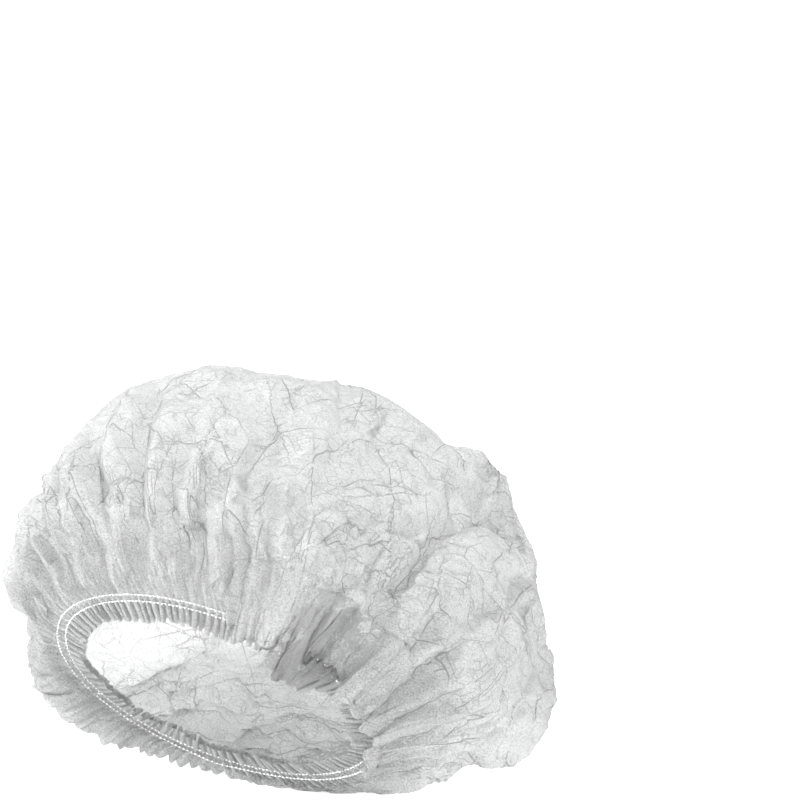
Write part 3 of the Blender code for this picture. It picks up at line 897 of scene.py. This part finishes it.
def make_elastic(name, points_at, normals_at, materials):
    """An elastic thread that rides on the gathered cloth, held down by a row of short stitches."""
    around = np.arange(COLUMNS // 2) / (COLUMNS // 2)
    normal = normals_at(around)
    centres = points_at(around) + normal * (THREAD_LIFT + cloth_rise(around))[:, None]
    tangent = unit(np.roll(centres, -1, axis=0) - np.roll(centres, 1, axis=0))
    side = unit(np.cross(tangent, normal))
    points, faces = tube(centres, np.cross(side, tangent), side, THREAD_RADIUS, ROUND_SIDES)
    count = len(faces)
    stitch = np.arange(STITCHES) / STITCHES
    rng = np.random.default_rng(len(name))
    at = points_at(stitch)
    up = normals_at(stitch)
    ahead = unit(points_at(stitch + 1e-4) - points_at(stitch - 1e-4))
    across = unit(np.cross(ahead, up))
    at = at + up * (STITCH_LIFT + cloth_rise(stitch))[:, None]
    at = at + across * rng.uniform(-STITCH_SCATTER, STITCH_SCATTER, STITCHES)[:, None]
    long = STITCH_LENGTH * rng.uniform(0.55, 1.2, STITCHES)[:, None]
    every = [points]
    start = len(points)
    for place, girth, rise in STITCH_RINGS:
        for k in range(ROUND_SIDES):
            turn = 2 * math.pi * k / ROUND_SIDES
            reach = STITCH_WIDTH * girth
            lift = STITCH_WIDTH * (rise + 0.7 * girth * math.cos(turn))
            every.append(at + ahead * long * place + up * lift + across * reach * math.sin(turn))
    for s in range(len(STITCH_RINGS) - 1):
        for k in range(ROUND_SIDES):
            a = start + (s * ROUND_SIDES + k) * STITCHES
            b = start + (s * ROUND_SIDES + (k + 1) % ROUND_SIDES) * STITCHES
            c = b + ROUND_SIDES * STITCHES
            d = a + ROUND_SIDES * STITCHES
            faces += [(a + i, b + i, c + i, d + i) for i in range(STITCHES)]
    for s, order in ((0, -1), (len(STITCH_RINGS) - 1, 1)):
        ring = [start + (s * ROUND_SIDES + k) * STITCHES for k in range(ROUND_SIDES)][::order]
        faces += [tuple(r + i for r in ring) for i in range(STITCHES)]
    piece = mesh_piece(name, np.concatenate(every) + CAP_SHIFT, faces, materials)
    for polygon in piece.data.polygons[count:]:
        polygon.material_index = 1
    return piece


def outer_points(around):
    along = np.full_like(around, PLAIN_STRIP / 2)
    return smooth_crown(along, around)


def outer_normals(around):
    return crown_normals(np.full_like(around, PLAIN_STRIP / 2), around)


def inner_points(around):
    return mouth_points(around, ELASTIC_SPACING / 2)


def inner_normals(around):
    return np.broadcast_to(mouth_axes()[3], around.shape + (3,))


SEAL_RIB_PITCH = 0.0009
SEAL_STEPS = (120, 12)
SEAL_PINCH = 0.18
SEAL_FILL = 0.98


def make_seal(seal, material):
    """A fused tab, crimped into ribs, with the cloth's gathered end in it."""
    centre, axes, half = seal_frame(seal)
    centre = centre + CAP_SHIFT
    ribs = round(half[0] / SEAL_RIB_PITCH)
    wide, tall = SEAL_STEPS
    u = np.linspace(-1, 1, wide + 1)
    v = np.linspace(-1, 1, tall + 1)
    grid_u, grid_v = np.meshgrid(u, v, indexing="ij")
    pinch = 1 - SEAL_PINCH * (1 - grid_v**2)
    rib = 0.5 + 0.5 * np.cos(2 * math.pi * ribs * grid_u)
    edge = np.clip((1 - np.abs(grid_u)) * 8, 0, 1) * np.clip((1 - np.abs(grid_v)) * 5, 0, 1)
    thick = half[2] * (0.30 + 0.55 * rib) * np.sqrt(edge) + 0.00005
    points = []
    for sign in (1, -1):
        for a, b, p, t in zip(grid_u.ravel(), grid_v.ravel(), pinch.ravel(), thick.ravel()):
            in_plane = axes[0] * half[0] * a * SEAL_FILL + axes[1] * half[1] * b * SEAL_FILL * p
            points.append(centre + in_plane + axes[2] * sign * t)
    across = tall + 1
    total = len(u) * across
    faces = []
    for i in range(len(u) - 1):
        for j in range(tall):
            a = i * across + j
            quad = (a, a + 1, a + across + 1, a + across)
            faces.append(quad)
            faces.append(tuple(total + q for q in quad[::-1]))
    rim = [i * across for i in range(len(u))]
    rim += [(len(u) - 1) * across + j for j in range(1, across)]
    rim += [i * across + tall for i in range(len(u) - 2, -1, -1)]
    rim += [j for j in range(tall - 1, 0, -1)]
    for a, b in zip(rim, rim[1:] + rim[:1]):
        faces.append((b, a, total + a, total + b))
    return mesh_piece(seal.name + "_crimp", np.array(points), faces, [material])


# ---- materials ----


def preset(made, values):
    """Sets the node's own sockets to these values, or links them to these outputs."""
    for name, value in values.items():
        if isinstance(value, bpy.types.NodeSocket):
            made.id_data.links.new(value, made.inputs[name])
        else:
            made.inputs[name].default_value = value
    return made


def node(tree, kind, values=(), **settings):
    made = tree.nodes.new(kind)
    for name, value in settings.items():
        setattr(made, name, value)
    return preset(made, dict(values))


def noise(tree, place, scale, detail, roughness=0.6, distortion=0.0):
    values = {"Vector": place, "Scale": scale, "Detail": detail}
    values.update({"Roughness": roughness, "Distortion": distortion})
    return node(tree, "ShaderNodeTexNoise", values).outputs["Fac"]


def ranged(tree, value, low, high, to_low, to_high):
    values = {"Value": value, "From Min": low, "From Max": high, "To Min": to_low, "To Max": to_high}
    return node(tree, "ShaderNodeMapRange", values).outputs["Result"]


def combined(tree, operation, first, *second):
    values = dict(enumerate((first, *second)))
    return node(tree, "ShaderNodeMath", values, operation=operation).outputs[0]


def mixed(tree, share, first, second):
    values = {0: share, 6: first, 7: second}
    return node(tree, "ShaderNodeMix", values, data_type="RGBA").outputs[2]


def attribute(tree, layer):
    return node(tree, "ShaderNodeAttribute", attribute_name=layer).outputs["Fac"]


def shade(colour, share=1.0):
    return (*[part * share for part in colour], 1.0)


SIDE_LAYER, CLEAR_LAYER, BUNCH_SHADOW_LAYER = "crease_side", "crease_clear", "bunch"
EDGE_PAINTED_SHADE = 0.45
GATHER_DENSITY_AND_SHADE = 0.40
GATHER_ZONE = (0.004, 0.015)
BUNCH_PAINTED_SHADOW = 0.60
BUNCH_SHADOW_EDGE = (0.40, 0.50)
LINE_DEPTH = 1.3
LINE_HALF_WIDTH_MM = 0.45
CREASE_WANDER = 0.0016
CREASE_CELLS = ((62.0, 0.022, 0.70), (150.0, 0.050, 0.50))
THIN_SHADE = 0.60
DARK_SHADE = 0.38
GRAIN_SCALE = 1300.0
CLOUD_SCALE = 170.0
RAGGED_SHADOW_SCALE = 95.0
FIBRE_SCALE = 240.0
# The ways that the fibres run, in degrees, and how many times longer than wide they are.
FIBRES = ((20.0, 9.0), (80.0, 8.0), (140.0, 10.0))


def gathered_zone(tree, place):
    """Close to the mouth's plane, where the cloth is gathered tight, it is drawn darker: partly because
    more fibres lie behind each other, partly as painted shade of the gathers.
    """
    centre, _, _, outward = mouth_axes()
    facing = node(tree, "ShaderNodeVectorMath", {0: place, 1: outward}, operation="DOT_PRODUCT")
    level = combined(tree, "ADD", facing.outputs["Value"], -float((centre + CAP_SHIFT) @ outward))
    return ranged(tree, combined(tree, "ABSOLUTE", level), *GATHER_ZONE, GATHER_DENSITY_AND_SHADE, 0.0)


def crease_lines(tree, place):
    """Hair-thin lines, finer than the mesh: along the creases, and the edges of small crumpled facets. They
    dent the bump, and in the colour they are painted crease shade.
    """
    wander = node(tree, "ShaderNodeTexNoise", {"Vector": place, "Scale": 140.0})
    shift = {0: wander.outputs["Color"], 1: [CREASE_WANDER] * 3, 2: place}
    shifted = node(tree, "ShaderNodeVectorMath", shift, operation="MULTIPLY_ADD").outputs["Vector"]
    away = combined(tree, "ABSOLUTE", attribute(tree, SIDE_LAYER))
    line = ranged(tree, away, 0.0, LINE_HALF_WIDTH_MM, 1.0, 0.0)
    total = combined(tree, "MULTIPLY", line, attribute(tree, CLEAR_LAYER))
    for scale, width, strength in CREASE_CELLS:
        values = {"Vector": shifted, "Scale": scale}
        cells = node(tree, "ShaderNodeTexVoronoi", values, feature="DISTANCE_TO_EDGE")
        line = ranged(tree, cells.outputs["Distance"], 0.0, width, strength, 0.0)
        shown = ranged(tree, noise(tree, place, 0.8 * scale, 1.0), 0.44, 0.56, 0.0, 1.0)
        total = combined(tree, "MAXIMUM", total, combined(tree, "MULTIPLY", line, shown))
    return total


def web_density(tree, place, grain):
    """Fibres in three directions, cloudy and grainy: 0 between them, 1 where they lie thick."""
    fibres = []
    for turn, stretch in FIBRES:
        angles = [math.radians(turn * factor) for factor in (1.0, 1.7, 0.6)]
        values = {"Vector": place, "Rotation": angles, "Scale": (1.0, stretch, stretch)}
        mapping = node(tree, "ShaderNodeMapping", values)
        fibres.append(noise(tree, mapping.outputs["Vector"], FIBRE_SCALE, 3.0, 0.7, 0.6))
    crossing = combined(tree, "MAXIMUM", combined(tree, "MAXIMUM", fibres[0], fibres[1]), fibres[2])
    web_part = ranged(tree, crossing, 0.50, 0.64, 0.0, 0.40)
    grain_part = ranged(tree, grain, 0.37, 0.51, 0.0, 0.55)
    cloudy = ranged(tree, noise(tree, place, CLOUD_SCALE, 3.0), 0.3, 0.7, 0.0, 0.15)
    return combined(tree, "ADD", combined(tree, "ADD", cloudy, web_part), grain_part)


def cloth_material(name, colour, through, sheer):
    """Thin web of white fibres: it scatters light, lets some through, and is sheer between the fibres."""
    made = bpy.data.materials.new(name)
    made.use_nodes = True
    tree = made.node_tree
    tree.nodes.clear()
    place = node(tree, "ShaderNodeTexCoord").outputs["Object"]
    grain = noise(tree, place, GRAIN_SCALE, 4.0, 0.75)
    dense = web_density(tree, place, grain)
    tint = mixed(tree, dense, shade(colour, THIN_SHADE), shade(colour))
    # Painted shade where the cloth is seen edge-on, darker towards its outlines.
    edge = node(tree, "ShaderNodeLayerWeight", {"Blend": 0.35})
    edge_painted_shade = ranged(tree, edge.outputs["Facing"], 0.48, 0.97, 0.0, EDGE_PAINTED_SHADE)
    # A ragged dark patch where the cloth is bunched: a painted shadow of the folds.
    ragged_shadow = ranged(tree, noise(tree, place, RAGGED_SHADOW_SCALE, 5.0, 0.72), 0.36, 0.64, 0.40, 1.80)
    bunch = combined(tree, "MULTIPLY", attribute(tree, BUNCH_SHADOW_LAYER), ragged_shadow)
    bunch = ranged(tree, bunch, *BUNCH_SHADOW_EDGE, 0.0, BUNCH_PAINTED_SHADOW)
    # Painted shade: dark crease lines and the bunched patch's painted shadow.
    lines = crease_lines(tree, place)
    bunch_and_crease_shade = combined(tree, "MAXIMUM", bunch, lines)
    mottle = ranged(tree, grain, 0.35, 0.62, 1.25, 0.45)
    # The gathered rim's darkness, partly painted shade, made patchy by the grain.
    patchy = combined(tree, "MULTIPLY", gathered_zone(tree, place), mottle)
    # Every painted shade above darkens the cloth's colour here.
    darkness = combined(tree, "MAXIMUM", combined(tree, "MAXIMUM", patchy, edge_painted_shade), bunch_and_crease_shade)
    shaded = mixed(tree, darkness, tint, shade(colour, DARK_SHADE))
    relief = combined(tree, "ADD", dense, combined(tree, "MULTIPLY", lines, -LINE_DEPTH))
    bump = node(tree, "ShaderNodeBump", {"Strength": 1.0, "Distance": 0.0006, "Height": relief})
    values = {"Base Color": shaded, "Normal": bump.outputs["Normal"], "Roughness": 0.62}
    values.update({"Sheen Weight": 0.15, "Sheen Roughness": 0.5, "Specular IOR Level": 0.35})
    surface = node(tree, "ShaderNodeBsdfPrincipled", values)
    values = {"Color": shaded, "Normal": bump.outputs["Normal"]}
    glow = node(tree, "ShaderNodeBsdfTranslucent", values)
    clear = node(tree, "ShaderNodeBsdfTransparent")
    body = node(tree, "ShaderNodeMixShader", {0: through, 1: surface.outputs[0], 2: glow.outputs[0]})
    gaps = ranged(tree, dense, 0.1, 1.0, sheer, sheer * 0.25)
    whole = node(tree, "ShaderNodeMixShader", {0: gaps, 1: body.outputs[0], 2: clear.outputs[0]})
    node(tree, "ShaderNodeOutputMaterial", {"Surface": whole.outputs[0]})
    return made


def thread_material(name, low, high, scale, roughness, bump_distance):
    """Twisted or fused fibres, finely ribbed: close to white, but for the elastic, whose grey tints are
    painted shade.
    """
    made = bpy.data.materials.new(name)
    made.use_nodes = True
    tree = made.node_tree
    place = node(tree, "ShaderNodeTexCoord").outputs["Object"]
    twist = noise(tree, place, scale, 4.0, 0.7)
    tint = mixed(tree, ranged(tree, twist, 0.3, 0.7, 0.0, 1.0), shade(low), shade(high))
    bump = node(tree, "ShaderNodeBump", {"Strength": 0.5, "Distance": bump_distance, "Height": twist})
    values = {"Base Color": tint, "Normal": bump.outputs["Normal"], "Roughness": roughness}
    preset(tree.nodes["Principled BSDF"], values)
    return made


# ---- stage ----


FLOOR_HALF = 6.0
LIT_HEIGHT = 0.06


def make_floor():
    made = bpy.data.materials.new("pale_floor")
    made.use_nodes = True
    preset(made.node_tree.nodes["Principled BSDF"], {
        "Base Color": (0.96, 0.96, 0.96, 1.0),
        "Roughness": 0.9,
        "Emission Color": (1.0, 1.0, 1.0, 1.0),
        "Emission Strength": 0.5,
    })
    corners = FLOOR_HALF * np.array([[-1.0, -1, 0], [1, -1, 0], [1, 1, 0], [-1, 1, 0]])
    floor = mesh_piece("floor", corners, [(0, 1, 2, 3)], [made], smooth=False)
    return floor


def make_light(name, place, size, power):
    data = bpy.data.lights.new(name, "AREA")
    data.shape = "DISK"
    data.size = size
    data.energy = power
    lamp = bpy.data.objects.new(name, data)
    bpy.context.scene.collection.objects.link(lamp)
    lamp.location = place
    lamp.rotation_euler = (Vector((0, 0, LIT_HEIGHT)) - Vector(place)).to_track_quat("-Z", "Y").to_euler()


def make_world(strength):
    world = bpy.data.worlds.new("soft_studio")
    world.use_nodes = True
    preset(world.node_tree.nodes["Background"], {"Color": (1.0, 1.0, 1.0, 1.0), "Strength": strength})
    bpy.context.scene.world = world


def make_camera():
    azimuth, elevation = math.radians(AZIMUTH_DEG), math.radians(ELEVATION_DEG)
    back = np.array([
        math.sin(azimuth) * math.cos(elevation),
        -math.cos(azimuth) * math.cos(elevation),
        math.sin(elevation),
    ])
    right = np.array([math.cos(azimuth), math.sin(azimuth), 0.0])
    upward = np.cross(back, right)
    focal = PIXELS_PER_METRE * CAMERA_DISTANCE
    aside, below = PICTURE / 2 - AIM_PIXEL[0], AIM_PIXEL[1] - PICTURE / 2
    ahead = unit(-back + right * aside / focal + upward * below / focal)
    right = unit(right - ahead * (right @ ahead))
    upward = np.cross(right, ahead)
    data = bpy.data.cameras.new("camera")
    data.sensor_width = SENSOR
    data.lens = focal / PICTURE * SENSOR
    data.clip_start, data.clip_end = 0.05, 50.0
    camera = bpy.data.objects.new("camera", data)
    bpy.context.scene.collection.objects.link(camera)
    turn = Matrix([[right[k], upward[k], -ahead[k]] for k in range(3)]).to_4x4()
    camera.matrix_world = Matrix.Translation(Vector(AIM + back * CAMERA_DISTANCE)) @ turn
    bpy.context.scene.camera = camera


# ---- the whole cap ----


def build():
    web = cloth_material("crown_cloth", (0.985, 0.988, 0.991), 0.40, 0.20)
    # The frill's cloth is the crown's cloth drawn slightly darker and less sheer: partly its overlapping
    # pleats, partly painted shade of the gathers.
    hem = cloth_material("frill_cloth", (0.95, 0.954, 0.958), 0.36, 0.10)
    # The elastic is white; its mid grey is painted shade, so the gaps between the stitches look dark.
    rubber = thread_material("elastic_thread_painted_shade", (0.42, 0.42, 0.42), (0.62, 0.62, 0.62), 3000.0, 0.6, 0.00005)
    thread = thread_material("stitch_thread", (0.93, 0.93, 0.93), (0.98, 0.98, 0.98), 5000.0, 0.5, 0.00003)
    fused = thread_material("fused_end", (0.80, 0.81, 0.82), (0.92, 0.92, 0.93), 900.0, 0.4, 0.00008)
    floor = make_floor()
    crown = make_crown(web)
    frill = make_frill(hem)
    outer = make_elastic("elastic_outer_thread", outer_points, outer_normals, [rubber, thread])
    inner = make_elastic("elastic_inner_thread", inner_points, inner_normals, [rubber, thread])
    tabs = [make_seal(seal, fused) for seal in SEALS]
    for piece, node_name, slot in (
        (crown, "crown", "non_woven_cloth"),
        (frill, "frill", "non_woven_cloth"),
        (outer, "elastic_outer", "white_elastic"),
        (inner, "elastic_inner", "white_elastic"),
        (tabs[0], "end_seal_right", "fused_cloth"),
        (tabs[1], "end_seal_left", "fused_cloth"),
    ):
        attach(piece, "root")
        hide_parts(node_name)


make_world(0.66)
make_light("key", (-0.45, 0.70, 1.45), 0.12, 31.0)
make_light("side", (1.55, -0.20, 0.70), 0.25, 8.0)
make_light("fill", (-1.45, -0.75, 0.50), 0.4, 24.0)
make_light("front", (0.60, -1.50, 0.55), 0.5, 10.0)
make_camera()
build()
bpy.context.scene.view_settings.view_transform = "Standard"
